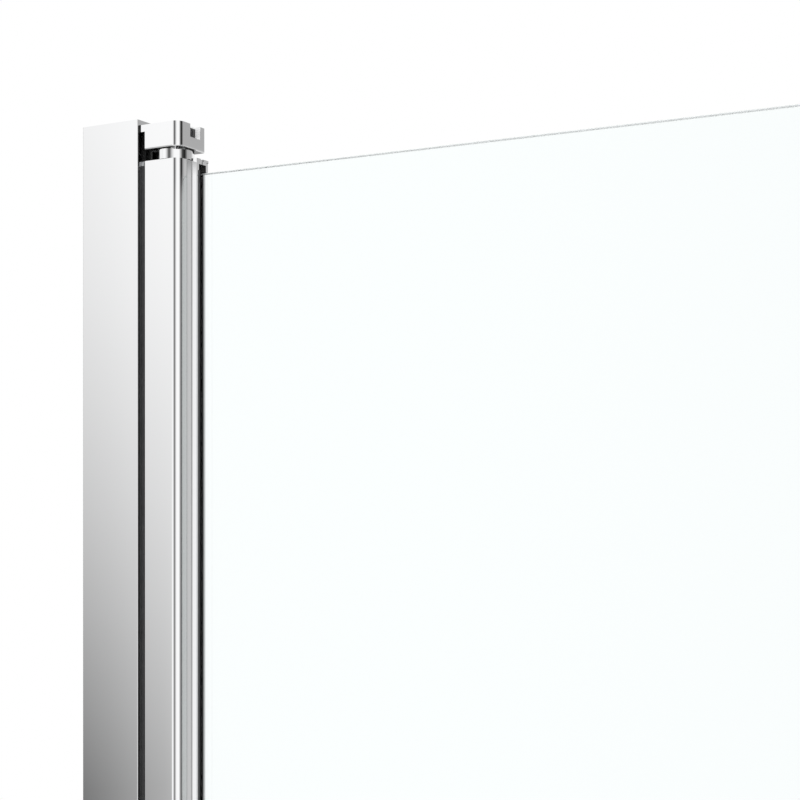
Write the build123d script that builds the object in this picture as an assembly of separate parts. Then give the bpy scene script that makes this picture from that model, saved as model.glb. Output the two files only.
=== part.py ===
from build123d import *
import math
import os

# Pivot shower door for one side of an opening, in millimetres.
# X runs from the wall along the closed door to its free edge, Y runs from the room into the shower, Z is up.
# The origin is on the wall plane, at the foot of the wall channel, level with the pivot axis.

# Whole door
DOOR_HEIGHT = 1850.0
CLOSED_WIDTH = 785.0
WIDTH_ADJUSTMENT = 15.0

# Wall channel and the holes for its wall screws
CHANNEL_WIDTH = 42.5
CHANNEL_DEPTH = 28.0
CHANNEL_WALL = 1.5
CHANNEL_EDGE_ROUND = 0.4
WALL_HOLE_DIAMETER = 5.2
WALL_HOLE_OUTER_SPACING = 1650.0
WALL_HOLE_INNER_SPACING = 550.0

# Cap in the top end of the wall channel
CAP_PLATE = 3.0
CAP_LEG_THICKNESS = 2.0
CAP_LEG_LENGTH = 12.0
CAP_TO_BRACKET = 0.2

# Adjusting profile that slides in the wall channel
SLIDE_CLEARANCE = 0.05
PROFILE_WALL_GAP = 8.0
PROFILE_SETBACK = 0.7
PROFILE_WALL = 1.5
PROFILE_WEB_SETBACK = 8.0
PROFILE_LIP = 1.0
GROOVE_DEPTH = 2.0
GROOVE_LIP = 1.0
GROOVE_WIDTH = 5.6
GROOVE_MOUTH = 3.4
GROOVE_RIB = 1.2

# Screws that clamp the width adjustment, with their snap caps
ADJUSTING_SCREW_X = 20.0
ADJUSTING_SCREW_SPACING = 775.0
ADJUSTING_SCREW_COUNT = 3
ADJUSTING_SCREW_DIAMETER = 4.0
ADJUSTING_SCREW_REACH = 8.0
PAN_HEAD_DIAMETER = 8.0
PAN_HEAD_HEIGHT = 2.4
SLOT_CLEARANCE = 0.3
CAP_BASE_DIAMETER = 10.4
CAP_BASE_THICKNESS = 1.5
SCREW_CAP_WALL = 1.2
SCREW_CAP_HEIGHT = 5.2
SCREW_CAP_ROUND = 1.8

# Hinge post and the gap beside it
POST_SIZE = 25.0
POST_GAP = 4.0
POST_WALL = 1.8
POST_FRONT_ROUND = 5.0
POST_BACK_ROUND = 1.5
POST_EDGE_ROUND = 0.2

# Glass clamp along the post
GLASS_OFFSET = 4.8
CLAMP_FRONT_WALL = 1.7
CLAMP_MOUTH = 7.4
CLAMP_REAR_WALL = 2.0
CLAMP_REAR_SETBACK = 0.6
CLAMP_REACH = 3.85
CLAMP_DEPTH = 9.2
CLAMP_FLOOR = 1.5
CLAMP_EDGE_ROUND = 0.4
CLAMP_ROOT_ROUND = 0.5

# Pivot brackets
BLOCK_HEIGHT = 14.6
BLOCK_FOOT_ROUND = 0.9
ARM_THICKNESS = 4.1
ARM_WALL_GAP = 10.0
TONGUE_LENGTH = 25.0
TONGUE_CLEARANCE = 0.1
TONGUE_SHELL = 2.6
NOTCH_WIDTH = 9.4
NOTCH_HEIGHT = 7.6
NOTCH_DEPTH = 3.8
NOTCH_OFFSET = 2.7

# Pivot spigots, their locking screws and the plugs that they turn in
PIVOT_GAP = 6.8
END_FLOAT = 0.3
RUNNING_CLEARANCE = 0.05
COLLAR_DIAMETER = 22.0
COLLAR_ROUND = 0.5
PIN_DIAMETER = 10.0
STUB_LENGTH = 13.2
PIN_LENGTH = 20.0
PIN_CHAMFER = 0.8
STUB_FLAT = 0.7
SET_SCREW_DIAMETER = 6.0
SET_SCREW_DROP = 4.3
SET_SCREW_RECESS = 0.3
HEX_SOCKET = 3.0
SOCKET_DEPTH = 2.4
PLUG_LENGTH = 24.0
PLUG_CLEARANCE = 0.1
WASHER_THICKNESS = 1.0
WASHER_DIAMETER = 20.0

# Countersunk screws of the brackets and plugs
SCREW_DIAMETER = 3.5
SCREW_HEAD_DIAMETER = 6.6
SCREW_HEAD_HEIGHT = 1.4
SCREW_FIT = 0.05
SCREW_SINK = 0.05
BRACKET_SCREW_LENGTH = 8.0
BRACKET_SCREW_SPACING = 11.0
BRACKET_SCREW_DROP = 12.0
PLUG_SCREW_LENGTH = 6.6
PLUG_SCREW_DROP = 12.0

# Seal in the mouth of the adjusting profile
SEAL_TO_POST = 0.5
SEAL_FIT = 0.1
SEAL_STOP_DROP = 24.1
SEAL_STOP_LENGTH = 2.5
SEAL_RIB_WIDTH = 0.6
SEAL_RIB_DEPTH = 0.6
SEAL_RIB_PITCH = 2.4
SEAL_RIB_COUNT = 7

# Glass and what holds it in the clamp
GLASS_THICKNESS = 6.0
GLASS_INSERT = 8.2
GLASS_TOP_DROP = 7.5
GLASS_ARRIS = 0.3
GASKET_LIP = 0.4
GASKET_FRONT_COVER = 0.3
GASKET_RISE = 2.0
PACKER_LENGTH = 60.0
PACKER_COUNT = 3
PACKER_FIT = 0.1
CLAMP_CAP_PLATE = 1.4
CLAMP_CAP_OVERLAP = 0.3
CLAMP_CAP_TONGUE = 1.8
CLAMP_CAP_FIT = 0.1
CLAMP_NOTCH_WIDTH = 2.6
CLAMP_NOTCH_DEPTH = 1.3
CLAMP_SLIT_WIDTH = 0.6
CLAMP_SLIT_OFFSET = 0.6

# Drip seal under the glass
SEAL_SHEET = 1.3
DRIP_GRIP = 12.0
DRIP_BASE = 1.7
DRIP_FLOOR_GAP = 4.0
DRIP_FIN = 1.1
DRIP_SHORT_FIN_GAP = 8.0
DRIP_DEFLECTOR = 9.0
DRIP_POST_CLEARANCE = 1.5
DRIP_END_CLEARANCE = 1.0

# Magnetic closing seal on the free edge
EDGE_GRIP = 12.0
EDGE_POCKET = 10.0
EDGE_POCKET_WIDTH = 10.0
EDGE_SHEET = 1.2
MAGNET_CLEARANCE = 0.1

# Handles through the glass
HANDLE_EDGE_DISTANCE = 55.0
HANDLE_HEIGHT = 1000.0
HANDLE_SPACING = 192.0
HANDLE_BAR_DIAMETER = 16.0
HANDLE_PROJECTION = 42.0
HANDLE_BEND = 16.0
HANDLE_FOOT_DIAMETER = 21.0
HANDLE_FOOT_THICKNESS = 4.0
HANDLE_FOOT_ROUND = 1.0
HANDLE_WASHER = 1.0
STUD_DIAMETER = 8.0
STUD_REACH = 16.0
STUD_CLEARANCE = 0.05
SLEEVE_WALL = 2.0
GRUB_DIAMETER = 5.0
GRUB_OFFSET = 9.0
GRUB_SINK = 0.4
GRUB_SOCKET = 2.5
GRUB_SOCKET_DEPTH = 2.0

# Places that follow from the sizes above
PIVOT_X = CHANNEL_WIDTH + POST_GAP + POST_SIZE / 2
POST_LEFT = PIVOT_X - POST_SIZE / 2
POST_RIGHT = PIVOT_X + POST_SIZE / 2
CHANNEL_INNER = CHANNEL_DEPTH / 2 - CHANNEL_WALL
PROFILE_OUTER = CHANNEL_INNER - SLIDE_CLEARANCE
PROFILE_INNER = PROFILE_OUTER - PROFILE_WALL
PROFILE_MOUTH = CHANNEL_WIDTH - PROFILE_SETBACK
WEB_X = PROFILE_MOUTH - PROFILE_WEB_SETBACK
GROOVE_BOTTOM = WEB_X + PROFILE_WALL
GROOVE_TOP = GROOVE_BOTTOM + GROOVE_DEPTH + GROOVE_LIP
BRACKET_DROP = CAP_PLATE + CAP_TO_BRACKET
BRACKET_TOP = DOOR_HEIGHT - BRACKET_DROP
BLOCK_FOOT = BRACKET_TOP - BLOCK_HEIGHT
ARM_FOOT = BRACKET_TOP - ARM_THICKNESS
POST_TOP = BLOCK_FOOT - PIVOT_GAP
POST_FOOT = DOOR_HEIGHT - POST_TOP
CLAMP_FRONT = GLASS_OFFSET - CLAMP_MOUTH / 2 - CLAMP_FRONT_WALL
CLAMP_BACK = GLASS_OFFSET + CLAMP_MOUTH / 2 + CLAMP_REAR_WALL
CLAMP_END = POST_RIGHT + CLAMP_REACH
CLAMP_REAR_END = CLAMP_END - CLAMP_REAR_SETBACK
CLAMP_BOTTOM = CLAMP_END - CLAMP_DEPTH
GLASS_FRONT = GLASS_OFFSET - GLASS_THICKNESS / 2
GLASS_BACK = GLASS_OFFSET + GLASS_THICKNESS / 2
GLASS_LEFT = CLAMP_END - GLASS_INSERT
GLASS_RIGHT = CLOSED_WIDTH - EDGE_POCKET
GLASS_TOP = POST_TOP - GLASS_TOP_DROP
GLASS_FOOT = POST_FOOT
HANDLE_X = GLASS_RIGHT - HANDLE_EDGE_DISTANCE
HALFWAY = Plane.XY.offset(DOOR_HEIGHT / 2)
TOUCH = 0.001


def block(x, y, z):
    """A box between two values on each axis."""
    spans = (x, y, z)
    middle = [(low + high) / 2 for low, high in spans]
    size = [high - low for low, high in spans]
    return Pos(*middle) * Box(*size)


def plate(x, y):
    """A flat rectangle between two values on X and on Y."""
    middle = [(low + high) / 2 for low, high in (x, y)]
    return Pos(*middle) * Rectangle(x[1] - x[0], y[1] - y[0])


def either_side(low, high):
    """The same span on both sides of the pivot plane."""
    return [(low, high), (-high, -low)]


def rod(radius, start, end):
    """A round bar from one point to another."""
    axis = Vector(*end) - Vector(*start)
    grounded = (Align.CENTER, Align.CENTER, Align.MIN)
    return Plane(origin=start, z_dir=axis) * Cylinder(radius, axis.length, align=grounded)


def prism(outline, z):
    """An outline drawn on the floor, raised between two heights."""
    return Pos(0, 0, z[0]) * extrude(outline, amount=z[1] - z[0])


def rounded(outline, corners, radius):
    """The outline with its corners at these points rounded."""
    picked = [
        vertex
        for vertex in outline.vertices()
        if any(math.hypot(vertex.X - x, vertex.Y - y) < TOUCH for x, y in corners)
    ]
    return fillet(picked, radius)


def upside_down(shape):
    """The matching shape at the other end of the door."""
    return mirror(shape, about=HALFWAY)


def group(shapes):
    """Separate like pieces that are kept together."""
    return Compound(children=list(shapes))


def countersunk(place, direction, length, extra=0.0):
    """A countersunk screw with its head flush at a place, or with extra all round, the hole for it."""
    way = Vector(*direction)
    head = Vector(*place)
    neck = head + way * SCREW_HEAD_HEIGHT
    cone = Cone(
        SCREW_HEAD_DIAMETER / 2 + extra,
        SCREW_DIAMETER / 2 + extra,
        SCREW_HEAD_HEIGHT,
        align=(Align.CENTER, Align.CENTER, Align.MIN),
    )
    shank = rod(SCREW_DIAMETER / 2 + extra, neck - way * TOUCH, head + way * (length + extra))
    return Plane(origin=head, z_dir=way) * cone + shank


# Wall channel: a plain extruded U that is screwed to the wall and open towards the door
def adjusting_heights():
    first = DOOR_HEIGHT / 2 - ADJUSTING_SCREW_SPACING * (ADJUSTING_SCREW_COUNT - 1) / 2
    return [first + ADJUSTING_SCREW_SPACING * number for number in range(ADJUSTING_SCREW_COUNT)]


def wall_channel():
    half = CHANNEL_DEPTH / 2
    outline = plate((0, CHANNEL_WIDTH), (-half, half))
    outline -= plate((CHANNEL_WALL, CHANNEL_WIDTH), (-CHANNEL_INNER, CHANNEL_INNER))
    ends = [(CHANNEL_WIDTH, half), (CHANNEL_WIDTH, -half), (0, half), (0, -half)]
    channel = prism(rounded(outline, ends, CHANNEL_EDGE_ROUND), (0, DOOR_HEIGHT))
    for spacing in (WALL_HOLE_OUTER_SPACING, WALL_HOLE_INNER_SPACING):
        for side in (-1, 1):
            height = DOOR_HEIGHT / 2 + side * spacing / 2
            start = (-TOUCH, 0, height)
            channel -= rod(WALL_HOLE_DIAMETER / 2, start, (CHANNEL_WALL + TOUCH, 0, height))
    for height in adjusting_heights():
        channel -= adjusting_slot(height)
    return channel


def adjusting_slot(height):
    """The level slot in the rear wall that an adjusting screw travels along."""
    radius = ADJUSTING_SCREW_DIAMETER / 2 + SLOT_CLEARANCE
    y = (CHANNEL_INNER - TOUCH, CHANNEL_DEPTH / 2 + TOUCH)
    travel = (ADJUSTING_SCREW_X, ADJUSTING_SCREW_X + WIDTH_ADJUSTMENT)
    slot = block(travel, y, (height - radius, height + radius))
    for x in travel:
        slot += rod(radius, (x, y[0], height), (x, y[1], height))
    return slot


def wall_channel_top_cap():
    width = (-CHANNEL_INNER, CHANNEL_INNER)
    underside = DOOR_HEIGHT - CAP_PLATE
    cap = block((CHANNEL_WALL, CHANNEL_WIDTH), width, (underside, DOOR_HEIGHT))
    leg_x = (CHANNEL_WALL, CHANNEL_WALL + CAP_LEG_THICKNESS)
    return cap + block(leg_x, width, (underside - CAP_LEG_LENGTH, underside + TOUCH))


# Adjusting profile: two flanges that slide in the channel, a web, and a groove for the gap seal
def adjusting_profile():
    flange_x = (PROFILE_WALL_GAP, PROFILE_MOUTH)
    rib = GROOVE_WIDTH / 2 + GROOVE_RIB
    outline = plate((WEB_X, GROOVE_BOTTOM), (-PROFILE_OUTER, PROFILE_OUTER))
    for y in either_side(PROFILE_INNER, PROFILE_OUTER):
        outline += plate(flange_x, y)
    for y in either_side(PROFILE_INNER - PROFILE_LIP, PROFILE_OUTER):
        outline += plate((PROFILE_MOUTH - PROFILE_LIP, PROFILE_MOUTH), y)
    for y in either_side(GROOVE_WIDTH / 2, rib):
        outline += plate((GROOVE_BOTTOM - TOUCH, GROOVE_TOP), y)
    for y in either_side(GROOVE_MOUTH / 2, rib):
        outline += plate((GROOVE_TOP - GROOVE_LIP, GROOVE_TOP), y)
    profile = prism(outline, (DOOR_HEIGHT - ARM_FOOT, ARM_FOOT))
    for height in adjusting_heights():
        start = (ADJUSTING_SCREW_X, PROFILE_INNER - TOUCH, height)
        end = (ADJUSTING_SCREW_X, PROFILE_OUTER + TOUCH, height)
        profile -= rod(ADJUSTING_SCREW_DIAMETER / 2 + SCREW_FIT, start, end)
    for hole in bracket_screws_at_top(SCREW_FIT):
        profile -= hole
        profile -= upside_down(hole)
    return profile


# Adjusting screws: pan heads on a cup, each cup covered by a snap cap on the shower side
def adjusting_screws():
    face = CHANNEL_DEPTH / 2 + RUNNING_CLEARANCE + CAP_BASE_THICKNESS
    screws = []
    for height in adjusting_heights():
        head_start = (ADJUSTING_SCREW_X, face, height)
        head_end = (ADJUSTING_SCREW_X, face + PAN_HEAD_HEIGHT, height)
        tip = (ADJUSTING_SCREW_X, face - CAP_BASE_THICKNESS - ADJUSTING_SCREW_REACH, height)
        head = rod(PAN_HEAD_DIAMETER / 2, head_start, head_end)
        rim = head.edges().filter_by(GeomType.CIRCLE).sort_by(Axis.Y)[-1]
        head = fillet(rim, PAN_HEAD_HEIGHT / 3)
        screws.append(head + rod(ADJUSTING_SCREW_DIAMETER / 2, tip, head_start))
    return group(screws)


def screw_cap_bases():
    face = CHANNEL_DEPTH / 2 + RUNNING_CLEARANCE
    bases = []
    for height in adjusting_heights():
        start = (ADJUSTING_SCREW_X, face, height)
        end = (ADJUSTING_SCREW_X, face + CAP_BASE_THICKNESS, height)
        base = rod(CAP_BASE_DIAMETER / 2, start, end)
        bases.append(base - rod(ADJUSTING_SCREW_DIAMETER / 2 + SCREW_FIT, start, end))
    return group(bases)


def screw_caps():
    face = CHANNEL_DEPTH / 2 + RUNNING_CLEARANCE
    inner = CAP_BASE_DIAMETER / 2 + SCREW_FIT
    caps = []
    for height in adjusting_heights():
        start = (ADJUSTING_SCREW_X, face, height)
        end = (ADJUSTING_SCREW_X, face + SCREW_CAP_HEIGHT, height)
        inner_end = (ADJUSTING_SCREW_X, face + SCREW_CAP_HEIGHT - SCREW_CAP_WALL, height)
        cap = rod(inner + SCREW_CAP_WALL, start, end)
        rim = cap.edges().filter_by(GeomType.CIRCLE).sort_by(Axis.Y)[-1]
        caps.append(fillet(rim, SCREW_CAP_ROUND) - rod(inner, start, inner_end))
    return group(caps)


# Gap seal: its hollow face follows the circle that the corners of the post sweep
def seal_face_radius():
    corner_reach = (POST_SIZE / 2 - POST_EDGE_ROUND) * math.sqrt(2) + POST_EDGE_ROUND
    return corner_reach + SEAL_TO_POST


def gap_seal_outline():
    body_start = GROOVE_TOP + SEAL_FIT
    body_half = PROFILE_INNER - SEAL_FIT
    throat_half = body_half - PROFILE_LIP
    outline = plate((body_start, PROFILE_MOUTH - PROFILE_LIP - SEAL_FIT), (-body_half, body_half))
    outline += plate((body_start, POST_LEFT), (-throat_half, throat_half))
    outline -= Pos(PIVOT_X, 0) * Circle(seal_face_radius())
    neck_half = GROOVE_MOUTH / 2 - SEAL_FIT
    foot_half = GROOVE_WIDTH / 2 - SEAL_FIT
    outline += plate((GROOVE_BOTTOM + SEAL_FIT, body_start + TOUCH), (-neck_half, neck_half))
    foot_x = (GROOVE_BOTTOM + SEAL_FIT, GROOVE_BOTTOM + GROOVE_DEPTH - SEAL_FIT)
    return outline + plate(foot_x, (-foot_half, foot_half))


def gap_seal():
    outline = gap_seal_outline()
    middle = (SEAL_RIB_COUNT - 1) / 2
    for number in range(SEAL_RIB_COUNT):
        y = (number - middle) * SEAL_RIB_PITCH
        x = PIVOT_X - math.sqrt(seal_face_radius() ** 2 - y**2)
        groove_y = (y - SEAL_RIB_WIDTH / 2, y + SEAL_RIB_WIDTH / 2)
        outline -= plate((x - SEAL_RIB_DEPTH, POST_LEFT), groove_y)
    end = SEAL_STOP_DROP + SEAL_STOP_LENGTH
    return prism(outline, (end, DOOR_HEIGHT - end))


def gap_seal_stops():
    top = DOOR_HEIGHT - SEAL_STOP_DROP
    stop = prism(gap_seal_outline(), (top - SEAL_STOP_LENGTH, top))
    return group([stop, upside_down(stop)])


# Square that the blocks and the post share in plan
def square_outline():
    half = POST_SIZE / 2
    outline = plate((POST_LEFT, POST_RIGHT), (-half, half))
    outline = rounded(outline, [(POST_RIGHT, -half)], POST_FRONT_ROUND)
    return rounded(outline, [(POST_RIGHT, half)], POST_BACK_ROUND)


# Pivot bracket: a cast block with an arm over the end of the adjusting profile and a tongue inside it
def bracket_screw_places():
    """The head centres of the bracket screws in the upper end of the adjusting profile."""
    middle = (ARM_WALL_GAP + WEB_X) / 2
    height = ARM_FOOT - BRACKET_SCREW_DROP
    sides = (-BRACKET_SCREW_SPACING / 2, BRACKET_SCREW_SPACING / 2)
    return [(middle + side, PROFILE_OUTER - SCREW_SINK, height) for side in sides]


def bracket_screws_at_top(extra=0.0):
    return [countersunk(place, (0, -1, 0), BRACKET_SCREW_LENGTH, extra) for place in bracket_screw_places()]


def tongue():
    x = (ARM_WALL_GAP, WEB_X - TONGUE_CLEARANCE)
    half = PROFILE_INNER - TONGUE_CLEARANCE
    foot = ARM_FOOT - TONGUE_LENGTH
    hollow_x = (x[0] + TONGUE_SHELL, x[1] - TONGUE_SHELL)
    hollow_half = half - TONGUE_SHELL
    hollow = block(hollow_x, (-hollow_half, hollow_half), (foot - TOUCH, ARM_FOOT))
    return block(x, (-half, half), (foot, ARM_FOOT + TOUCH)) - hollow


def top_pivot_bracket():
    body = prism(square_outline(), (BLOCK_FOOT, BRACKET_TOP))
    foot_edges = body.edges().group_by(Axis.Z)[0]
    body = fillet([edge for edge in foot_edges if edge.center().X > POST_LEFT + TOUCH], BLOCK_FOOT_ROUND)
    body += block((ARM_WALL_GAP, PIVOT_X), (-PROFILE_OUTER, PROFILE_OUTER), (ARM_FOOT, BRACKET_TOP))
    body += tongue()
    notch_y = (NOTCH_OFFSET - NOTCH_WIDTH / 2, NOTCH_OFFSET + NOTCH_WIDTH / 2)
    notch_z = (BRACKET_TOP - NOTCH_HEIGHT, BRACKET_TOP + TOUCH)
    body -= block((POST_RIGHT - NOTCH_DEPTH, POST_RIGHT + TOUCH), notch_y, notch_z)
    bore_end = (PIVOT_X, 0, BLOCK_FOOT + STUB_LENGTH + RUNNING_CLEARANCE)
    body -= rod(PIN_DIAMETER / 2 + SCREW_FIT, (PIVOT_X, 0, BLOCK_FOOT - TOUCH), bore_end)
    body -= set_screw_rod(PIVOT_X, POST_RIGHT - NOTCH_DEPTH + TOUCH, SCREW_FIT)
    for hole in bracket_screws_at_top(SCREW_FIT):
        body -= hole
    return body


def bracket_screws():
    upper = bracket_screws_at_top()
    return group(upper + [upside_down(screw) for screw in upper])


# Set screw that locks a spigot in its block, reached through the notch
def set_screw_rod(start_x, end_x, extra):
    height = BRACKET_TOP - SET_SCREW_DROP
    start = (start_x, NOTCH_OFFSET, height)
    return rod(SET_SCREW_DIAMETER / 2 + extra, start, (end_x, NOTCH_OFFSET, height))


def hex_socket(mouth, direction, across, depth):
    """The hexagonal recess in the end of a set screw."""
    way = Vector(*direction)
    hexagon = RegularPolygon(across / math.sqrt(3), 6)
    return Plane(origin=Vector(*mouth), z_dir=way) * extrude(hexagon, amount=depth)


def spigot_set_screws():
    head_x = POST_RIGHT - NOTCH_DEPTH - SET_SCREW_RECESS
    screw = set_screw_rod(PIVOT_X + PIN_DIAMETER / 2 - STUB_FLAT, head_x, 0)
    mouth = (head_x, NOTCH_OFFSET, BRACKET_TOP - SET_SCREW_DROP)
    screw -= hex_socket(mouth, (-1, 0, 0), HEX_SOCKET, SOCKET_DEPTH)
    return group([screw, upside_down(screw)])


# Pivot spigot: a collar between block and post, a stub locked in the block and a pin in the post
def pivot_spigot(collar_height):
    radius = PIN_DIAMETER / 2
    collar_foot = BLOCK_FOOT - collar_height
    collar = rod(COLLAR_DIAMETER / 2, (PIVOT_X, 0, collar_foot), (PIVOT_X, 0, BLOCK_FOOT))
    collar = fillet(collar.edges().filter_by(GeomType.CIRCLE), COLLAR_ROUND)
    tip = collar_foot - PIN_LENGTH
    shaft = rod(radius, (PIVOT_X, 0, tip), (PIVOT_X, 0, BLOCK_FOOT + STUB_LENGTH))
    shaft = chamfer(shaft.edges().filter_by(GeomType.CIRCLE), PIN_CHAMFER)
    flat_x = (PIVOT_X + radius - STUB_FLAT, PIVOT_X + radius + TOUCH)
    flat_foot = BRACKET_TOP - SET_SCREW_DROP - SET_SCREW_DIAMETER / 2 - SCREW_FIT
    flat_z = (flat_foot, BLOCK_FOOT + STUB_LENGTH + TOUCH)
    return collar + shaft - block(flat_x, (-radius, radius), flat_z)


def top_pivot_spigot():
    return pivot_spigot(PIVOT_GAP - END_FLOAT)


def bottom_pivot_spigot():
    return upside_down(pivot_spigot(PIVOT_GAP - WASHER_THICKNESS - RUNNING_CLEARANCE))


def thrust_washer():
    top = POST_FOOT - RUNNING_CLEARANCE
    foot = top - WASHER_THICKNESS
    washer = rod(WASHER_DIAMETER / 2, (PIVOT_X, 0, foot), (PIVOT_X, 0, top))
    return washer - rod(PIN_DIAMETER / 2 + SCREW_FIT, (PIVOT_X, 0, foot - TOUCH), (PIVOT_X, 0, top + TOUCH))


# Hinge post: a hollow square extrusion with the glass clamp at its back right
def post_hollow(clearance):
    half = POST_SIZE / 2 - POST_WALL - clearance
    floor_x = CLAMP_BOTTOM - CLAMP_FLOOR - clearance
    hollow = plate((POST_LEFT + POST_WALL + clearance, floor_x), (-half, half))
    side_x = (floor_x - TOUCH, POST_RIGHT - POST_WALL - clearance)
    return hollow + plate(side_x, (-half, CLAMP_FRONT - clearance))


def hinge_post():
    half = POST_SIZE / 2
    outline = rounded(square_outline(), [(POST_LEFT, -half), (POST_LEFT, half)], POST_EDGE_ROUND)
    clamp = plate((CLAMP_BOTTOM - CLAMP_FLOOR, CLAMP_END), (CLAMP_FRONT, CLAMP_BACK))
    clamp_corners = [(CLAMP_END, CLAMP_FRONT), (CLAMP_END, CLAMP_BACK)]
    outline += rounded(clamp, clamp_corners, CLAMP_EDGE_ROUND)
    outline = rounded(outline, [(POST_RIGHT, CLAMP_FRONT)], CLAMP_ROOT_ROUND) - post_hollow(0)
    mouth = (GLASS_OFFSET - CLAMP_MOUTH / 2, GLASS_OFFSET + CLAMP_MOUTH / 2)
    outline -= plate((CLAMP_BOTTOM, CLAMP_END + TOUCH), mouth)
    outline -= plate((CLAMP_REAR_END, CLAMP_END + TOUCH), (mouth[1] - TOUCH, CLAMP_BACK + TOUCH))
    post = prism(outline, (POST_FOOT, POST_TOP))
    hole = plug_screw_at_top(SCREW_FIT)
    return post - hole - upside_down(hole)


def post_top_plug():
    plug = prism(post_hollow(PLUG_CLEARANCE), (POST_TOP - PLUG_LENGTH, POST_TOP))
    bore_foot = POST_TOP + END_FLOAT - PIN_LENGTH - PIN_CHAMFER
    bore = rod(PIN_DIAMETER / 2 + RUNNING_CLEARANCE, (PIVOT_X, 0, bore_foot), (PIVOT_X, 0, POST_TOP + TOUCH))
    return plug - bore - plug_screw_at_top(SCREW_FIT)


def post_bottom_plug():
    return upside_down(post_top_plug())


def plug_screw_at_top(extra=0.0):
    place = (POST_LEFT + SCREW_SINK, 0, POST_TOP - PLUG_SCREW_DROP)
    return countersunk(place, (1, 0, 0), PLUG_SCREW_LENGTH, extra)


def plug_screws():
    screw = plug_screw_at_top()
    return group([screw, upside_down(screw)])


# Glass pane with ground edges and the two holes for the handles
def handle_heights():
    return [HANDLE_HEIGHT - HANDLE_SPACING / 2, HANDLE_HEIGHT + HANDLE_SPACING / 2]


def glass_pane():
    pane = block((GLASS_LEFT, GLASS_RIGHT), (GLASS_FRONT, GLASS_BACK), (GLASS_FOOT, GLASS_TOP))
    pane = chamfer(pane.edges(), GLASS_ARRIS)
    radius = STUD_DIAMETER / 2 + SLEEVE_WALL + 2 * STUD_CLEARANCE
    for height in handle_heights():
        start = (HANDLE_X, GLASS_FRONT - TOUCH, height)
        pane -= rod(radius, start, (HANDLE_X, GLASS_BACK + TOUCH, height))
    return pane


# Gaskets that wedge the glass in the clamp; the front one has a lip over the end of the clamp wall
def gasket(wall_end, y):
    """A strip between the glass and one clamp wall, a lip longer than that wall."""
    return prism(plate((GLASS_LEFT, wall_end + GASKET_LIP), y), (GLASS_FOOT, GLASS_TOP + GASKET_RISE))


def front_glazing_gasket():
    wall = GLASS_OFFSET - CLAMP_MOUTH / 2
    cover = plate((CLAMP_END, CLAMP_END + GASKET_LIP), (wall - GASKET_FRONT_COVER, wall + TOUCH))
    return gasket(CLAMP_END, (wall, GLASS_FRONT)) + prism(cover, (GLASS_FOOT, GLASS_TOP + GASKET_RISE))


def rear_glazing_gasket():
    return gasket(CLAMP_REAR_END, (GLASS_BACK, GLASS_OFFSET + CLAMP_MOUTH / 2))


def glass_packers():
    pitch = (GLASS_TOP - GLASS_FOOT) / PACKER_COUNT
    y = (GLASS_FRONT + PACKER_FIT, GLASS_BACK - PACKER_FIT)
    packers = []
    for number in range(PACKER_COUNT):
        middle = GLASS_FOOT + pitch * (number + 0.5)
        z = (middle - PACKER_LENGTH / 2, middle + PACKER_LENGTH / 2)
        packers.append(block((CLAMP_BOTTOM, GLASS_LEFT), y, z))
    return group(packers)


# End caps of the glass clamp
def clamp_cap_plate(z):
    outline = plate((POST_RIGHT - CLAMP_CAP_OVERLAP, CLAMP_END), (CLAMP_FRONT, CLAMP_BACK))
    corners = [(CLAMP_END, CLAMP_FRONT), (CLAMP_END, CLAMP_BACK)]
    return prism(rounded(outline, corners, CLAMP_EDGE_ROUND), z)


def clamp_top_cap():
    top = POST_TOP + CLAMP_CAP_PLATE
    foot = POST_TOP - CLAMP_CAP_TONGUE
    half = CLAMP_MOUTH / 2 - CLAMP_CAP_FIT
    cap = clamp_cap_plate((POST_TOP, top))
    tongue_y = (GLASS_OFFSET - half, GLASS_OFFSET + half)
    cap += block((GLASS_LEFT, CLAMP_END), tongue_y, (foot, POST_TOP + TOUCH))
    middle = GLASS_OFFSET - CLAMP_SLIT_OFFSET
    cuts = ((CLAMP_NOTCH_WIDTH, top - CLAMP_NOTCH_DEPTH), (CLAMP_SLIT_WIDTH, foot - TOUCH))
    for width, bottom in cuts:
        y = (middle - width / 2, middle + width / 2)
        cap -= block((CLAMP_END - CLAMP_NOTCH_DEPTH, CLAMP_END + TOUCH), y, (bottom, top + TOUCH))
    return cap


def clamp_bottom_cap():
    return clamp_cap_plate((POST_FOOT - CLAMP_CAP_PLATE, POST_FOOT))


# Drip seal: grips the foot of the glass, with two fins and a deflector on the shower side
def drip_seal():
    front = GLASS_FRONT - SEAL_SHEET
    back = GLASS_BACK + SEAL_SHEET
    base_foot = GLASS_FOOT - DRIP_BASE
    x = (CLAMP_END + DRIP_POST_CLEARANCE, GLASS_RIGHT - EDGE_GRIP - DRIP_END_CLEARANCE)
    seal = block(x, (front, back), (base_foot, GLASS_FOOT))
    for y in ((front, GLASS_FRONT), (GLASS_BACK, back)):
        seal += block(x, y, (GLASS_FOOT - TOUCH, GLASS_FOOT + DRIP_GRIP))
    seal += block(x, (front, front + DRIP_FIN), (DRIP_SHORT_FIN_GAP, base_foot + TOUCH))
    seal += block(x, (GLASS_OFFSET, GLASS_OFFSET + DRIP_FIN), (DRIP_FLOOR_GAP, base_foot + TOUCH))
    reach = DRIP_DEFLECTOR / math.sqrt(2)
    thick = DRIP_FIN * math.sqrt(2)
    corners = [
        (back, base_foot + thick),
        (back + reach, base_foot + thick - reach),
        (back + reach, base_foot - reach),
        (back, base_foot),
    ]
    deflector = make_face(Polyline([(x[0], y, z) for y, z in corners], close=True))
    return seal + extrude(deflector, amount=x[1] - x[0], dir=(1, 0, 0))


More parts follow.
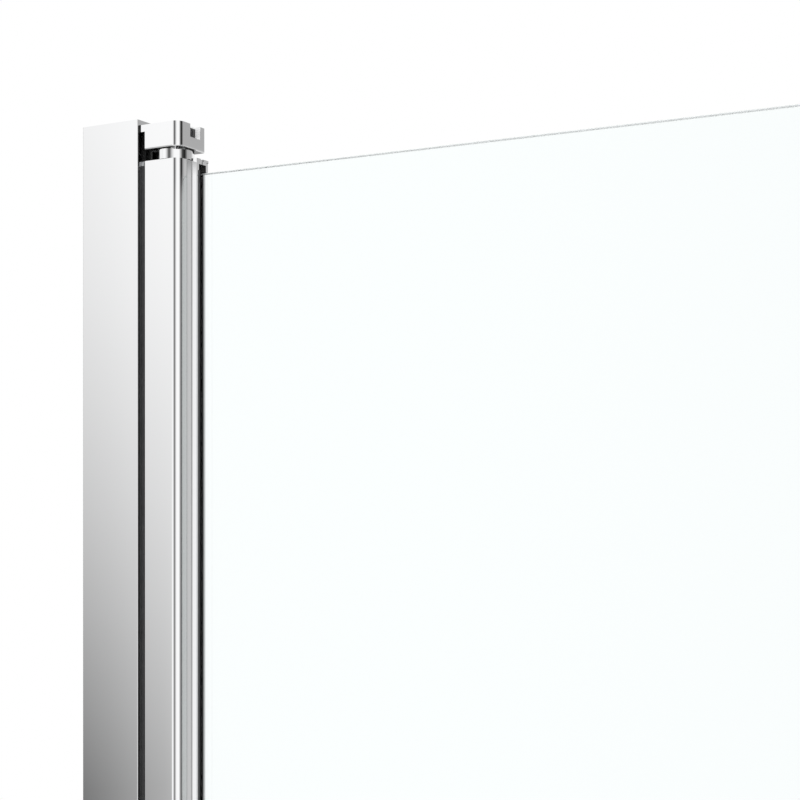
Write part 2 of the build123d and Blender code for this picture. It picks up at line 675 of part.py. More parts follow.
# Closing seal: grips the free edge of the glass and holds a magnet strip
def edge_seal():
    base_y = (GLASS_FRONT - EDGE_SHEET, GLASS_BACK + EDGE_SHEET)
    outline = plate((GLASS_RIGHT, GLASS_RIGHT + EDGE_SHEET), base_y)
    for y in ((GLASS_FRONT - EDGE_SHEET, GLASS_FRONT), (GLASS_BACK, GLASS_BACK + EDGE_SHEET)):
        outline += plate((GLASS_RIGHT - EDGE_GRIP, GLASS_RIGHT + TOUCH), y)
    half = EDGE_POCKET_WIDTH / 2
    outline += plate((GLASS_RIGHT, CLOSED_WIDTH), (GLASS_OFFSET - half, GLASS_OFFSET + half))
    inner = half - EDGE_SHEET
    pocket_x = (GLASS_RIGHT + EDGE_SHEET, CLOSED_WIDTH - EDGE_SHEET)
    outline -= plate(pocket_x, (GLASS_OFFSET - inner, GLASS_OFFSET + inner))
    return prism(outline, (GLASS_FOOT, GLASS_TOP))


def edge_magnet():
    half = EDGE_POCKET_WIDTH / 2 - EDGE_SHEET - MAGNET_CLEARANCE
    x = (GLASS_RIGHT + EDGE_SHEET + MAGNET_CLEARANCE, CLOSED_WIDTH - EDGE_SHEET - MAGNET_CLEARANCE)
    return block(x, (GLASS_OFFSET - half, GLASS_OFFSET + half), (GLASS_FOOT, GLASS_TOP))


# Handles: a bent bar on each face of the glass, drawn together by studs through nylon sleeves
def handle(face, way):
    """A handle whose feet stand a washer away from one face of the glass; way is -1 in front, 1 behind."""
    foot_y = face + way * HANDLE_WASHER
    bar_y = foot_y + way * (HANDLE_PROJECTION - HANDLE_BAR_DIAMETER / 2)
    low, high = handle_heights()
    points = [(foot_y, low), (bar_y, low), (bar_y, high), (foot_y, high)]
    route = FilletPolyline([(HANDLE_X, y, z) for y, z in points], radius=HANDLE_BEND)
    start = Plane(origin=(HANDLE_X, foot_y, low), z_dir=(0, way, 0))
    bar = sweep(start * Circle(HANDLE_BAR_DIAMETER / 2), path=route)
    for height in (low, high):
        foot = rod(
            HANDLE_FOOT_DIAMETER / 2,
            (HANDLE_X, foot_y, height),
            (HANDLE_X, foot_y + way * HANDLE_FOOT_THICKNESS, height),
        )
        outer_rim = foot.edges().filter_by(GeomType.CIRCLE).sort_by(Axis.Y)[-1 if way > 0 else 0]
        bar += fillet(outer_rim, HANDLE_FOOT_ROUND)
    for height in (low, high):
        bore_end = (HANDLE_X, foot_y + way * (STUD_REACH + STUD_CLEARANCE), height)
        bar -= rod(STUD_DIAMETER / 2 + STUD_CLEARANCE, (HANDLE_X, foot_y, height), bore_end)
    return bar


def outer_handle():
    return handle(GLASS_FRONT, -1)


def grub_screw_at(height):
    """A grub screw under an inner handle's leg, with its tip on the stud."""
    y = GLASS_BACK + HANDLE_WASHER + GRUB_OFFSET
    foot = height - HANDLE_BAR_DIAMETER / 2 + GRUB_SINK
    return (HANDLE_X, y, foot), (HANDLE_X, y, height - STUD_DIAMETER / 2)


def inner_handle():
    bar = handle(GLASS_BACK, 1)
    for height in handle_heights():
        foot, tip = grub_screw_at(height)
        below = (foot[0], foot[1], height - HANDLE_BAR_DIAMETER)
        bar -= rod(GRUB_DIAMETER / 2 + SCREW_FIT, below, tip)
    return bar


def handle_grub_screws():
    screws = []
    for height in handle_heights():
        foot, tip = grub_screw_at(height)
        screw = rod(GRUB_DIAMETER / 2, foot, tip)
        screws.append(screw - hex_socket(foot, (0, 0, 1), GRUB_SOCKET, GRUB_SOCKET_DEPTH))
    return group(screws)


def handle_studs():
    reach = HANDLE_WASHER + STUD_REACH
    studs = []
    for height in handle_heights():
        start = (HANDLE_X, GLASS_FRONT - reach, height)
        studs.append(rod(STUD_DIAMETER / 2, start, (HANDLE_X, GLASS_BACK + reach, height)))
    return group(studs)


def handle_sleeves():
    inner = STUD_DIAMETER / 2 + STUD_CLEARANCE
    sleeves = []
    for height in handle_heights():
        start = (HANDLE_X, GLASS_FRONT, height)
        end = (HANDLE_X, GLASS_BACK, height)
        sleeves.append(rod(inner + SLEEVE_WALL, start, end) - rod(inner, start, end))
    return group(sleeves)


def handle_washers():
    hole = STUD_DIAMETER / 2 + STUD_CLEARANCE
    washers = []
    for height in handle_heights():
        for face, way in ((GLASS_FRONT, -1), (GLASS_BACK, 1)):
            start = (HANDLE_X, face, height)
            end = (HANDLE_X, face + way * HANDLE_WASHER, height)
            washers.append(rod(HANDLE_FOOT_DIAMETER / 2, start, end) - rod(hole, start, end))
    return group(washers)


# Every piece of the door under its own name
PIECES = {
    "wall_channel": wall_channel,
    "wall_channel_top_cap": wall_channel_top_cap,
    "adjusting_profile": adjusting_profile,
    "adjusting_screws": adjusting_screws,
    "screw_cap_bases": screw_cap_bases,
    "screw_caps": screw_caps,
    "gap_seal": gap_seal,
    "gap_seal_stops": gap_seal_stops,
    "top_pivot_bracket": top_pivot_bracket,
    "bottom_pivot_bracket": lambda: upside_down(top_pivot_bracket()),
    "bracket_screws": bracket_screws,
    "top_pivot_spigot": top_pivot_spigot,
    "bottom_pivot_spigot": bottom_pivot_spigot,
    "spigot_set_screws": spigot_set_screws,
    "thrust_washer": thrust_washer,
    "hinge_post": hinge_post,
    "post_top_plug": post_top_plug,
    "post_bottom_plug": post_bottom_plug,
    "plug_screws": plug_screws,
    "clamp_top_cap": clamp_top_cap,
    "clamp_bottom_cap": clamp_bottom_cap,
    "front_glazing_gasket": front_glazing_gasket,
    "rear_glazing_gasket": rear_glazing_gasket,
    "glass_packers": glass_packers,
    "glass_pane": glass_pane,
    "drip_seal": drip_seal,
    "edge_seal": edge_seal,
    "edge_magnet": edge_magnet,
    "outer_handle": outer_handle,
    "inner_handle": inner_handle,
    "handle_studs": handle_studs,
    "handle_sleeves": handle_sleeves,
    "handle_washers": handle_washers,
    "handle_grub_screws": handle_grub_screws,
}

os.makedirs("parts", exist_ok=True)
for name, make in PIECES.items():
    export_step(make(), f"parts/{name}.step")
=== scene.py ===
import math

import bpy
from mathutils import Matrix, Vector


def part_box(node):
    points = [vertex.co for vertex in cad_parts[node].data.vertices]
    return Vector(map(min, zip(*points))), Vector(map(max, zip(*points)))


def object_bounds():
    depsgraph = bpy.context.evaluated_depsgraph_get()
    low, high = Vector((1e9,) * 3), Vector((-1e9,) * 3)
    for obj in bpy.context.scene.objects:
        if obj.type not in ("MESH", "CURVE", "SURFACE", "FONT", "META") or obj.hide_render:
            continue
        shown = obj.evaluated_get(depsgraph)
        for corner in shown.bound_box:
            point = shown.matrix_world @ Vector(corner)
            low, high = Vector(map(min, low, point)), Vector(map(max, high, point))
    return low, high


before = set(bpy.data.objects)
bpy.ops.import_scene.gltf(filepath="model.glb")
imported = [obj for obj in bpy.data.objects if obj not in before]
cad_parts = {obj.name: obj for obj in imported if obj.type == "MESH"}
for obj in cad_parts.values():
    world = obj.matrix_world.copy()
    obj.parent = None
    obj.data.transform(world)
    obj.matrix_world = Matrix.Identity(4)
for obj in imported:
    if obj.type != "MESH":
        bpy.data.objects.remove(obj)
cad_low, cad_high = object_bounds()
bpy.ops.object.select_all(action="DESELECT")


# Wall channel: the U-shaped aluminium extrusion that is screwed to the wall.
# It is polished and plated to a bright chrome look, with faint lines along it from the extrusion die.
# The channel itself never moves; the adjusting profile slides in its mouth.
def new_finish(name):
    """A new material, its nodes and its links."""
    material = bpy.data.materials.new(name)
    material.use_nodes = True
    return material, material.node_tree.nodes, material.node_tree.links


def stretched_noise(nodes, links, cells_per_metre, detail=2.0):
    """Noise fixed to the piece, with its own number of cells per metre along X, Y and Z."""
    place = nodes.new("ShaderNodeTexCoord")
    stretch = nodes.new("ShaderNodeMapping")
    stretch.inputs["Scale"].default_value = cells_per_metre
    noise = nodes.new("ShaderNodeTexNoise")
    noise.inputs["Scale"].default_value = 1.0
    noise.inputs["Detail"].default_value = detail
    links.new(place.outputs["Object"], stretch.inputs["Vector"])
    links.new(stretch.outputs["Vector"], noise.inputs["Vector"])
    return noise.outputs["Fac"]


def spread(nodes, links, value, low, high):
    """The noise value spread between two numbers."""
    ramp = nodes.new("ShaderNodeMapRange")
    ramp.inputs["From Min"].default_value = 0.3
    ramp.inputs["From Max"].default_value = 0.7
    ramp.inputs["To Min"].default_value = low
    ramp.inputs["To Max"].default_value = high
    links.new(value, ramp.inputs["Value"])
    return ramp.outputs["Result"]


def raise_surface(nodes, links, value, height):
    """Bump of a given height in metres, joined to the shader's normal."""
    bump = nodes.new("ShaderNodeBump")
    bump.inputs["Strength"].default_value = 1.0
    bump.inputs["Distance"].default_value = height
    links.new(value, bump.inputs["Height"])
    links.new(bump.outputs["Normal"], nodes["Principled BSDF"].inputs["Normal"])


def arithmetic(nodes, links, operation, first, second):
    """One step of arithmetic on two values, each a number or another node's output."""
    node = nodes.new("ShaderNodeMath")
    node.operation = operation
    for socket, value in zip(node.inputs, (first, second)):
        if isinstance(value, float):
            socket.default_value = value
        else:
            links.new(value, socket)
    return node.outputs["Value"]


def mixed(nodes, links, factor, first, second):
    """Two colours mixed by a factor."""
    mix = nodes.new("ShaderNodeMix")
    mix.data_type = "RGBA"
    links.new(factor, mix.inputs["Factor"])
    for socket, value in ((mix.inputs["A"], first), (mix.inputs["B"], second)):
        if isinstance(value, tuple):
            socket.default_value = value
        else:
            links.new(value, socket)
    return mix.outputs["Result"]


def chrome_finish(name, colour, roughness, grain, grain_height):
    """Bright chrome with a varying polish and a surface grain of a given height."""
    material, nodes, links = new_finish(name)
    shader = nodes["Principled BSDF"]
    shader.inputs["Metallic"].default_value = 1.0
    shader.inputs["Base Color"].default_value = (*colour, 1.0)
    polish = stretched_noise(nodes, links, (9.0, 9.0, 3.0))
    links.new(spread(nodes, links, polish, *roughness), shader.inputs["Roughness"])
    raise_surface(nodes, links, stretched_noise(nodes, links, grain), grain_height)
    return material


def finish_nodes(material, *names):
    """Gives a finish to the CAD pieces of these names."""
    for name in names:
        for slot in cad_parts[name].material_slots:
            slot.material = material


CHROME = (0.95, 0.952, 0.957)


def profile_finish(name):
    """The finish of the polished and plated extrusions."""
    return chrome_finish(
        name,
        colour=CHROME,
        roughness=(0.01, 0.02),
        grain=(1400.0, 1400.0, 2.0),
        grain_height=0.0000001,
    )


finish_nodes(profile_finish("polished_channel"), "wall_channel")


# Adjusting profile and hinge post: extrusions that are polished and plated like the channel.
# Their inner faces, in the mouth beside the post and in the glass clamp, get painted shade: a dark
# non-metal tone where shade falls in these recesses.
def object_axes(nodes, links):
    """X, Y and Z of a point of the piece, in metres."""
    place = nodes.new("ShaderNodeTexCoord")
    split = nodes.new("ShaderNodeSeparateXYZ")
    links.new(place.outputs["Object"], split.inputs["Vector"])
    return [split.outputs[axis] for axis in "XYZ"]


def all_true(nodes, links, tests):
    """One where every test holds and nought elsewhere; a test is an operation, a value and a limit."""
    product = 1.0
    for operation, value, limit in tests:
        test = arithmetic(nodes, links, operation, value, limit)
        product = arithmetic(nodes, links, "MULTIPLY", test, product)
    return product


def grey(tone):
    return (tone, tone, tone, 1.0)


def paint_shade_inside(material, x_limits, y_limits, tone):
    """Painted shade: a dark non-metal tone where the piece lies within these limits of X and Y."""
    nodes, links = material.node_tree.nodes, material.node_tree.links
    shader = nodes["Principled BSDF"]
    x, y, z = object_axes(nodes, links)
    tests = (
        ("GREATER_THAN", x, x_limits[0]),
        ("LESS_THAN", x, x_limits[1]),
        ("GREATER_THAN", y, y_limits[0]),
        ("LESS_THAN", y, y_limits[1]),
    )
    inside = all_true(nodes, links, tests)
    plating = tuple(shader.inputs["Base Color"].default_value)
    links.new(mixed(nodes, links, inside, plating, grey(tone)), shader.inputs["Base Color"])
    links.new(arithmetic(nodes, links, "SUBTRACT", 1.0, inside), shader.inputs["Metallic"])


adjusting_chrome = profile_finish("polished_adjusting_profile")
paint_shade_inside(adjusting_chrome, x_limits=(0.03, 0.0384), y_limits=(-0.0041, 0.0041), tone=0.06)
finish_nodes(adjusting_chrome, "adjusting_profile")
post_chrome = profile_finish("polished_post")
paint_shade_inside(post_chrome, x_limits=(0.067, 0.0753), y_limits=(0.00075, 0.00855), tone=0.08)
finish_nodes(post_chrome, "hinge_post")


# End caps: the cap in the top of the wall channel and the two caps of the glass clamp, with the snap caps.
# They are injection-moulded ABS with a chrome plating, a little softer in its shine than the profiles.
plated_plastic = chrome_finish(
    "plated_cap",
    colour=(0.93, 0.932, 0.938),
    roughness=(0.05, 0.09),
    grain=(420.0, 420.0, 420.0),
    grain_height=0.0000015,
)
finish_nodes(plated_plastic, "wall_channel_top_cap", "clamp_top_cap", "clamp_bottom_cap", "screw_caps")


# Pivot brackets: zinc castings with chrome plating over a slightly uneven cast skin.
# One is screwed into each end of the adjusting profile, and its block carries the spigot.
cast_chrome = chrome_finish(
    "cast_bracket",
    colour=CHROME,
    roughness=(0.03, 0.06),
    grain=(500.0, 500.0, 500.0),
    grain_height=0.000002,
)
bracket_low, bracket_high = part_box("top_pivot_bracket")
DOOR_MIDDLE = (cad_low[2] + cad_high[2]) / 2
# The notch in each bracket's block; its floor gets painted shade, which stops NOTCH_BRIGHT_RIM below the
# top.
NOTCH_DEPTH = 0.0038
NOTCH_HEIGHT = 0.0076
NOTCH_SIDES = (-0.002, 0.0074)
NOTCH_MARGIN = 0.0001
NOTCH_BRIGHT_RIM = 0.0009
notch_floor = bracket_high[0] - NOTCH_DEPTH
notch_foot = bracket_high[2] - NOTCH_HEIGHT - DOOR_MIDDLE
notch_rim = bracket_high[2] - NOTCH_BRIGHT_RIM - DOOR_MIDDLE


def roughen_and_shade_notch(material, floor_shade_colour, roughness):
    """Satin walls in the notches of both brackets, where plating hardly reaches, and painted shade on their
    floors: a dark tone mottled by noise.
    """
    nodes, links = material.node_tree.nodes, material.node_tree.links
    shader = nodes["Principled BSDF"]
    x, y, z = object_axes(nodes, links)
    above_middle = arithmetic(nodes, links, "SUBTRACT", z, DOOR_MIDDLE)
    from_middle = arithmetic(nodes, links, "ABSOLUTE", above_middle, 0.0)
    tests = (
        ("GREATER_THAN", x, notch_floor - NOTCH_MARGIN),
        ("LESS_THAN", x, bracket_high[0] - NOTCH_MARGIN),
        ("GREATER_THAN", y, NOTCH_SIDES[0] - NOTCH_MARGIN),
        ("LESS_THAN", y, NOTCH_SIDES[1] + NOTCH_MARGIN),
        ("GREATER_THAN", from_middle, notch_foot - NOTCH_MARGIN),
    )
    inside = all_true(nodes, links, tests)
    tests += (("LESS_THAN", x, notch_floor + NOTCH_MARGIN), ("LESS_THAN", from_middle, notch_rim))
    shaded_floor = all_true(nodes, links, tests)
    skin = stretched_noise(nodes, links, (1600.0, 1600.0, 1600.0), detail=4.0)
    dark = nodes.new("ShaderNodeVectorMath")
    dark.operation = "SCALE"
    dark.inputs[0].default_value = floor_shade_colour
    links.new(spread(nodes, links, skin, 0.4, 1.6), dark.inputs["Scale"])
    plating = tuple(shader.inputs["Base Color"].default_value)
    links.new(mixed(nodes, links, shaded_floor, plating, dark.outputs["Vector"]), shader.inputs["Base Color"])
    blend = nodes.new("ShaderNodeMix")
    links.new(inside, blend.inputs["Factor"])
    links.new(shader.inputs["Roughness"].links[0].from_socket, blend.inputs["A"])
    blend.inputs["B"].default_value = roughness
    links.new(blend.outputs["Result"], shader.inputs["Roughness"])
    links.new(arithmetic(nodes, links, "SUBTRACT", 1.0, inside), shader.inputs["Metallic"])


# Painted shade: the notch floors get a near-black tone.
roughen_and_shade_notch(cast_chrome, floor_shade_colour=(0.05, 0.05, 0.05), roughness=0.4)
finish_nodes(cast_chrome, "top_pivot_bracket", "bottom_pivot_bracket")


# Pivot spigots: turned brass with chrome plating, one in each bracket.
# A wide collar shows between block and post, and its pin turns in the post's plug.
turned_chrome = chrome_finish(
    "turned_spigot",
    colour=CHROME,
    roughness=(0.02, 0.04),
    grain=(300.0, 300.0, 1800.0),
    grain_height=0.0000003,
)
finish_nodes(turned_chrome, "top_pivot_spigot", "bottom_pivot_spigot")


# Screws and studs: stainless steel, cold formed, with a fine bead-blasted grain.
# The set screws of the spigots and the grub screws of the handles are blackened.
def steel_finish(name, colour, roughness):
    """Steel with a fine grain and a varying dullness."""
    material, nodes, links = new_finish(name)
    shader = nodes["Principled BSDF"]
    shader.inputs["Metallic"].default_value = 1.0
    shader.inputs["Base Color"].default_value = (*colour, 1.0)
    wear = stretched_noise(nodes, links, (700.0, 700.0, 700.0), detail=4.0)
    links.new(spread(nodes, links, wear, *roughness), shader.inputs["Roughness"])
    raise_surface(nodes, links, wear, 0.000006)
    return material


stainless = steel_finish("stainless_screw", (0.62, 0.61, 0.59), (0.22, 0.4))
finish_nodes(stainless, "adjusting_screws", "bracket_screws", "plug_screws", "handle_studs")
blackened = steel_finish("blackened_screw", (0.09, 0.09, 0.095), (0.3, 0.5))
finish_nodes(blackened, "spigot_set_screws", "handle_grub_screws")


# Moulded plastic parts: black nylon plugs, white nylon packers, sleeves and thrust washer,
# and grey ABS for the seal's end stops and the bases of the snap caps.
def moulded_finish(name, colour, other, roughness):
    """Plastic or rubber mottled between two close colours, with a fine moulded grain."""
    material, nodes, links = new_finish(name)
    shader = nodes["Principled BSDF"]
    mottle = stretched_noise(nodes, links, (260.0, 260.0, 260.0), detail=5.0)
    tone = mixed(nodes, links, mottle, (*colour, 1.0), (*other, 1.0))
    links.new(tone, shader.inputs["Base Color"])
    links.new(spread(nodes, links, mottle, *roughness), shader.inputs["Roughness"])
    raise_surface(nodes, links, stretched_noise(nodes, links, (2200.0, 2200.0, 2200.0)), 0.000008)
    return material


black_nylon = moulded_finish("black_nylon", (0.03, 0.03, 0.032), (0.05, 0.05, 0.052), (0.4, 0.55))
finish_nodes(black_nylon, "post_top_plug", "post_bottom_plug")
white_nylon = moulded_finish("white_nylon", (0.74, 0.73, 0.69), (0.8, 0.79, 0.76), (0.4, 0.55))
finish_nodes(white_nylon, "glass_packers", "handle_sleeves", "thrust_washer")
grey_plastic = moulded_finish("grey_plastic", (0.42, 0.43, 0.44), (0.5, 0.51, 0.52), (0.35, 0.5))
finish_nodes(grey_plastic, "gap_seal_stops", "screw_cap_bases")


# Rubber: the ribbed seal in the mouth of the profile and the two glazing gaskets, all extruded,
# and the flexible magnet strip, which is ferrite powder in a grey binder.
seal_rubber = moulded_finish("seal_rubber", (0.045, 0.046, 0.048), (0.075, 0.076, 0.078), (0.45, 0.62))
finish_nodes(seal_rubber, "gap_seal")
gasket_rubber = moulded_finish("gasket_rubber", (0.03, 0.031, 0.033), (0.05, 0.052, 0.055), (0.35, 0.5))
finish_nodes(gasket_rubber, "front_glazing_gasket", "rear_glazing_gasket")
magnet_rubber = moulded_finish("magnet_rubber", (0.3, 0.3, 0.305), (0.36, 0.36, 0.365), (0.5, 0.65))
finish_nodes(magnet_rubber, "edge_magnet")


# Glass pane: 6 mm clear toughened glass with ground edges.
# Its body has the slight green of ordinary float glass, which only shows along the edges.
GLASS_ARRIS = 0.00031
GLASS_EDGE_FROST = 0.45
pane_low, pane_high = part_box("glass_pane")


def ground_edge(nodes, links):
    """One on the ground border of the pane and nought on its two faces."""
    x, y, z = object_axes(nodes, links)
    border = 0.0
    for value, low, high in ((x, pane_low[0], pane_high[0]), (z, pane_low[2], pane_high[2])):
        for operation, limit in (("LESS_THAN", low + GLASS_ARRIS), ("GREATER_THAN", high - GLASS_ARRIS)):
            test = arithmetic(nodes, links, operation, value, limit)
            border = arithmetic(nodes, links, "MAXIMUM", test, border)
    return border


def glass_finish():
    """Clear glass with hardly any mirror image, as under even light all round."""
    material, nodes, links = new_finish("toughened_glass")
    shader = nodes["Principled BSDF"]
    shader.inputs["Base Color"].default_value = (0.972, 1.0, 1.0, 1.0)
    shader.inputs["Transmission Weight"].default_value = 1.0
    shader.inputs["IOR"].default_value = 1.52
    shader.inputs["Specular Tint"].default_value = (0.4, 0.4, 0.4, 1.0)
    smear = spread(nodes, links, stretched_noise(nodes, links, (3.0, 3.0, 2.0)), 0.0, 0.004)
    frost = arithmetic(nodes, links, "MULTIPLY", ground_edge(nodes, links), GLASS_EDGE_FROST)
    links.new(arithmetic(nodes, links, "ADD", smear, frost), shader.inputs["Roughness"])
    tint = nodes.new("ShaderNodeVolumeAbsorption")
    tint.inputs["Color"].default_value = (0.70, 0.94, 0.88, 1.0)
    tint.inputs["Density"].default_value = 3.0
    links.new(tint.outputs["Volume"], nodes["Material Output"].inputs["Volume"])
    return material


finish_nodes(glass_finish(), "glass_pane")


# Clear seals: soft PVC extrusions, slightly milky, on the foot and the free edge of the glass.
# The washers between the handles and the glass are of the same material.
def clear_vinyl_finish():
    material, nodes, links = new_finish("clear_vinyl")
    shader = nodes["Principled BSDF"]
    shader.inputs["Base Color"].default_value = (0.93, 0.95, 0.95, 1.0)
    shader.inputs["Transmission Weight"].default_value = 0.6
    shader.inputs["IOR"].default_value = 1.4
    flow = stretched_noise(nodes, links, (40.0, 300.0, 300.0))
    links.new(spread(nodes, links, flow, 0.08, 0.2), shader.inputs["Roughness"])
    raise_surface(nodes, links, flow, 0.00002)
    return material


finish_nodes(clear_vinyl_finish(), "drip_seal", "edge_seal", "handle_washers")


# Handles: bent brass tube with chrome plating, one on each face of the glass.
# Both are drawn together by studs through the pane.
handle_chrome = chrome_finish(
    "plated_handle",
    colour=CHROME,
    roughness=(0.02, 0.04),
    grain=(120.0, 120.0, 120.0),
    grain_height=0.000001,
)
finish_nodes(handle_chrome, "outer_handle", "inner_handle")


# Studio: the camera stands at the photograph's place, level, with a 50 mm lens on a 36 mm frame.
# It is turned to the left, so that the hinge side runs down the left part of the picture.
CAMERA_PLACE = (0.47838, -0.52045, 1.68571)
CAMERA_TURN = math.asin(0.46077)
camera = bpy.data.objects.new("studio_camera", bpy.data.cameras.new("studio_camera"))
bpy.context.scene.collection.objects.link(camera)
camera.data.lens = 50.0
camera.data.sensor_width = 36.0
camera.data.clip_start = 0.01
camera.location = CAMERA_PLACE
camera.rotation_euler = (math.radians(90.0), 0.0, CAMERA_TURN)
bpy.context.scene.camera = camera
bpy.context.scene.view_settings.view_transform = "Standard"


# Surroundings: white for the eye and through the glass, plain soft light on the pieces, and for the
# reflections a round room whose tone changes with the heading and falls off towards the floor.
# Headings are in degrees, from the front towards the free edge.
LOW_ROOM = (
    (-180, 0.75), (-160, 0.7), (-145, 0.3), (-90, 0.1), (-52, 0.08), (-43.4, 0.19), (-40.7, 0.36),
    (-38.5, 0.48), (-36, 0.95), (-27, 1.0), (-20, 0.9), (-10, 0.5), (-4, 0.25), (3, 0.22), (9, 0.4),
    (15, 0.65), (21, 0.85), (27, 1.0), (61, 1.0), (66, 0.75), (72, 0.4), (79, 0.25), (96, 0.27),
    (101, 0.4), (105, 0.62), (112, 0.62), (120, 0.53), (150, 0.53), (170, 0.75), (180, 0.75),
)
HIGH_ROOM = (
    (-180, 0.95), (-160, 0.95), (-145, 0.3), (-110, 0.03), (-80, 0.03), (-75, 0.3), (-70, 0.75),
    (-64, 1.0), (-43.4, 0.92), (-40, 1.0), (-27, 1.0), (-23.8, 0.92), (-16.8, 0.7), (-10.2, 0.4),
    (-3.6, 0.12), (2.6, 0.1), (8.8, 0.26), (14.8, 0.54), (20.8, 0.74), (26.8, 0.9), (33, 1.0),
    (60, 1.0), (66, 0.68), (73, 0.4), (80, 0.07), (95, 0.01), (101, 0.05), (109, 0.2),
    (117, 0.42), (150, 0.42), (170, 0.95), (180, 0.95),
)
BACK_HEADING = math.radians(131.0)
# A surface that shows a neighbour which is itself a mirror sees nearly black, but for one low card.
# The card is white up to the heading CARD_EDGE and grey beyond it.
CREVICE_TONE = 0.03
CARD_EDGE = math.radians(38.06)
WHITE_CARD = ((-180, CREVICE_TONE), (35.8, CREVICE_TONE), (36, 0.97), (180, 0.97))
GREY_CARD = ((-180, 0.59), (40, 0.59), (40.2, CREVICE_TONE), (180, CREVICE_TONE))
# Places on these ramps run from 0 straight down to 1 straight up.
LEFT_FALL = (
    (0.338, 0.0), (0.37, 0.17), (0.4115, 0.37), (0.4555, 0.56),
    (0.5, 0.72), (0.545, 0.86), (0.5625, 0.9), (0.614, 1.0),
)
RIGHT_FALL = ((0.587, 0.0), (0.596, 0.9), (0.599, 1.0))
BACK_FALL = ((0.604, 0.0), (0.6065, 1.0))
ABOVE_CARD = ((0.598, 0.0), (0.61, 1.0))
CEILING = ((0.75, 0.0), (0.9, 1.0))
GROUND = ((0.15, 1.0), (0.3, 0.0))


def tone_ramp(nodes, links, value, stops):
    """A ramp of greys along a value; the stops are pairs of place and tone."""
    ramp = nodes.new("ShaderNodeValToRGB")
    elements = ramp.color_ramp.elements
    while len(elements) < len(stops):
        elements.new(0.5)
    for element, (place, tone) in zip(elements, sorted(stops)):
        element.position = place
        element.color = grey(tone)
    links.new(value, ramp.inputs["Fac"])
    return ramp.outputs["Color"]


def round_room(nodes, links, heading, stops):
    """A ramp of greys along the heading; the stops are pairs of degrees and tone."""
    turn = arithmetic(nodes, links, "DIVIDE", heading, math.tau)
    place = arithmetic(nodes, links, "ADD", turn, 0.5)
    return tone_ramp(nodes, links, place, [(0.5 + degrees / 360.0, tone) for degrees, tone in stops])


world = bpy.data.worlds.new("studio_surroundings")
bpy.context.scene.world = world
world.use_nodes = True
nodes, links = world.node_tree.nodes, world.node_tree.links
direction = nodes.new("ShaderNodeTexCoord")
split = nodes.new("ShaderNodeSeparateXYZ")
links.new(direction.outputs["Generated"], split.inputs["Vector"])
x, y, z = (split.outputs[axis] for axis in "XYZ")
heading = arithmetic(nodes, links, "ARCTAN2", x, arithmetic(nodes, links, "MULTIPLY", y, -1.0))
height = arithmetic(nodes, links, "ADD", arithmetic(nodes, links, "MULTIPLY", z, 0.5), 0.5)
low_room = round_room(nodes, links, heading, LOW_ROOM)
high_room = round_room(nodes, links, heading, HIGH_ROOM)
right_side = arithmetic(nodes, links, "GREATER_THAN", heading, 0.0)
back_side = arithmetic(nodes, links, "GREATER_THAN", heading, BACK_HEADING)
left_fall = tone_ramp(nodes, links, height, LEFT_FALL)
right_fall = tone_ramp(nodes, links, height, RIGHT_FALL)
back_fall = tone_ramp(nodes, links, height, BACK_FALL)
rise = mixed(nodes, links, right_side, left_fall, right_fall)
rise = mixed(nodes, links, back_side, rise, back_fall)
room = mixed(nodes, links, rise, low_room, high_room)
room = mixed(nodes, links, tone_ramp(nodes, links, height, CEILING), room, grey(0.9))
room = mixed(nodes, links, tone_ramp(nodes, links, height, GROUND), room, grey(0.75))
white_card = round_room(nodes, links, heading, WHITE_CARD)
grey_card = round_room(nodes, links, heading, GREY_CARD)
past_edge = arithmetic(nodes, links, "GREATER_THAN", heading, CARD_EDGE)
card = mixed(nodes, links, past_edge, white_card, grey_card)
above_card = tone_ramp(nodes, links, height, ABOVE_CARD)
crevice = mixed(nodes, links, above_card, card, grey(CREVICE_TONE))

# A ray that met two mirrors sees the crevice, unless it comes out of the glass. A ray through the glass
# sees white, on the left side also after one mirror, which is then the inside of the pane's own edge.
rays = nodes.new("ShaderNodeLightPath")
through_glass = rays.outputs["Is Transmission Ray"]
mirrors = rays.outputs["Glossy Depth"]
not_through = arithmetic(nodes, links, "SUBTRACT", 1.0, through_glass)
two_mirrors = arithmetic(nodes, links, "GREATER_THAN", mirrors, 1.5)
in_crevice = arithmetic(nodes, links, "MULTIPLY", two_mirrors, not_through)
room = mixed(nodes, links, in_crevice, room, crevice)
left_side = arithmetic(nodes, links, "LESS_THAN", heading, 0.0)
mirrors_allowed = arithmetic(nodes, links, "ADD", left_side, 0.5)
few_mirrors = arithmetic(nodes, links, "LESS_THAN", mirrors, mirrors_allowed)
seen_through = arithmetic(nodes, links, "MULTIPLY", through_glass, few_mirrors)
white_ray = arithmetic(nodes, links, "MAXIMUM", rays.outputs["Is Camera Ray"], seen_through)
tone = mixed(nodes, links, rays.outputs["Is Glossy Ray"], grey(0.8), room)
tone = mixed(nodes, links, white_ray, tone, grey(1.0))
links.new(tone, nodes["Background"].inputs["Color"])


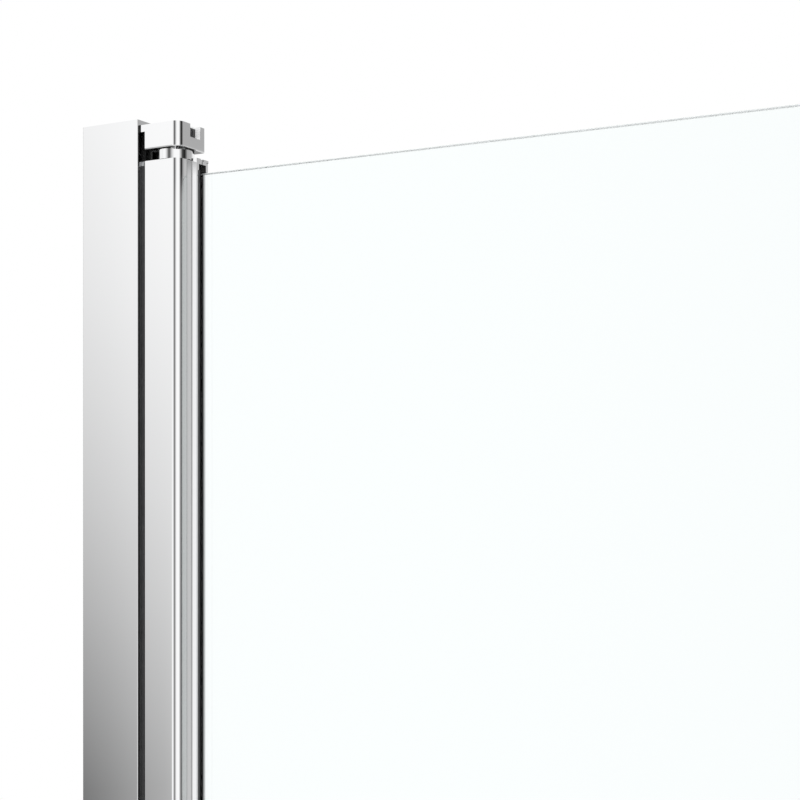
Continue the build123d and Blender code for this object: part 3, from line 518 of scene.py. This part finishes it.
# Floor: a plain pale disc under the door that keeps its soft shadow.
# It fades towards its rim and isn't part of the object.
FLOOR_RADIUS = 3.2
FLOOR_FADE = (0.55, 0.98)
FLOOR_MIDDLE = (0.39, 0.0, 0.0)
bpy.ops.mesh.primitive_circle_add(vertices=96, radius=FLOOR_RADIUS, fill_type="NGON", location=FLOOR_MIDDLE)
floor = bpy.context.object
floor.name = "studio_floor"


def floor_finish():
    """Pale grey for the eye and the soft light, clear for reflections and towards its rim."""
    material, nodes, links = new_finish("pale_floor")
    paint = nodes["Principled BSDF"]
    paint.inputs["Base Color"].default_value = (0.93, 0.93, 0.93, 1.0)
    paint.inputs["Roughness"].default_value = 0.9
    paint.inputs["Specular IOR Level"].default_value = 0.0
    place = nodes.new("ShaderNodeTexCoord")
    reach = nodes.new("ShaderNodeVectorMath")
    reach.operation = "LENGTH"
    links.new(place.outputs["Object"], reach.inputs[0])
    fade = nodes.new("ShaderNodeMapRange")
    fade.inputs["From Min"].default_value = FLOOR_FADE[0] * FLOOR_RADIUS
    fade.inputs["From Max"].default_value = FLOOR_FADE[1] * FLOOR_RADIUS
    links.new(reach.outputs["Value"], fade.inputs["Value"])
    rays = nodes.new("ShaderNodeLightPath")
    clear_part = arithmetic(nodes, links, "MAXIMUM", fade.outputs["Result"], rays.outputs["Is Glossy Ray"])
    clear = nodes.new("ShaderNodeBsdfTransparent")
    blend = nodes.new("ShaderNodeMixShader")
    links.new(clear_part, blend.inputs["Fac"])
    links.new(paint.outputs["BSDF"], blend.inputs[1])
    links.new(clear.outputs["BSDF"], blend.inputs[2])
    links.new(blend.outputs["Shader"], nodes["Material Output"].inputs["Surface"])
    return material


floor.data.materials.append(floor_finish())


# Soft lamp: a square soft box overhead and a little in front,
# so that the pieces cast a gentle shadow.
lamp = bpy.data.objects.new("overhead_softbox", bpy.data.lights.new("overhead_softbox", "AREA"))
bpy.context.scene.collection.objects.link(lamp)
lamp.data.shape = "SQUARE"
lamp.data.size = 1.6
lamp.data.energy = 22.0
lamp.location = (0.6, -1.2, 3.6)
lamp.rotation_euler = (math.radians(22.0), 0.0, 0.0)
